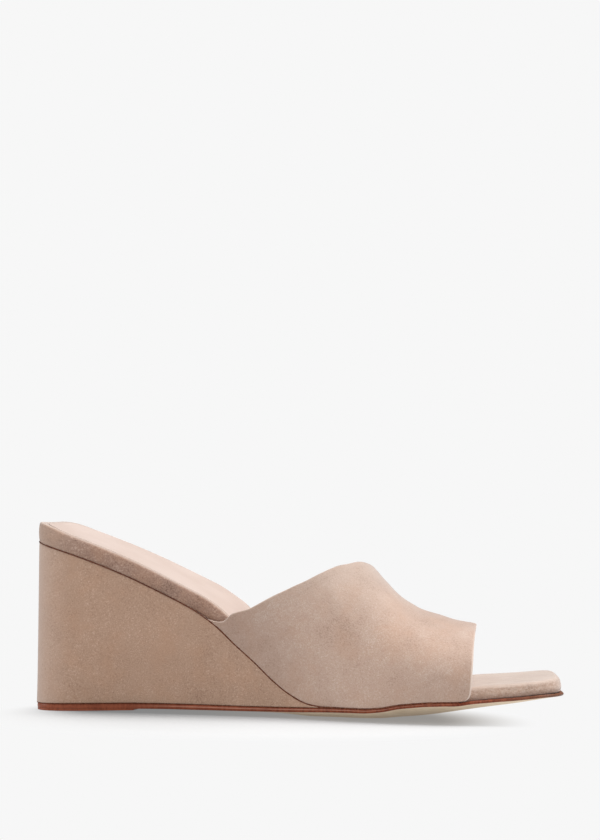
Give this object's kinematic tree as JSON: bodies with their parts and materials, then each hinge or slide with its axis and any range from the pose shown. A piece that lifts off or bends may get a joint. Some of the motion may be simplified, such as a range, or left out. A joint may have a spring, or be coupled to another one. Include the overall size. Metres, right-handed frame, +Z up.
{
  "type": "wedge mule",
  "caption": "Women's slip-on wedge mule, open at heel and toe, with a suede vamp, padded suede footbed, covered wedge heel and thin leather sole; left shoe",
  "frame": {"origin": "On the floor, under the middle of the shoe's length and width", "axes": "+X from heel to toe, +Y towards the outer side of the foot, +Z up"},
  "size_m": [0.2374, 0.0834, 0.0838],
  "materials": {
    "vamp_suede": "brushed suede, matte",
    "wedge_suede": "brushed suede, matte",
    "footbed_suede": "brushed suede, matte",
    "sock_leather": "smooth, satin",
    "sole_leather": "stained edge, satin",
    "heel_rubber": "smooth, satin"
  },
  "bodies": {
    "root": {"outsole": "sole_leather", "top_piece": "heel_rubber", "wedge": "wedge_suede", "footbed": "footbed_suede", "sock": "sock_leather", "vamp": "vamp_suede"}
  },
  "joints": []
}
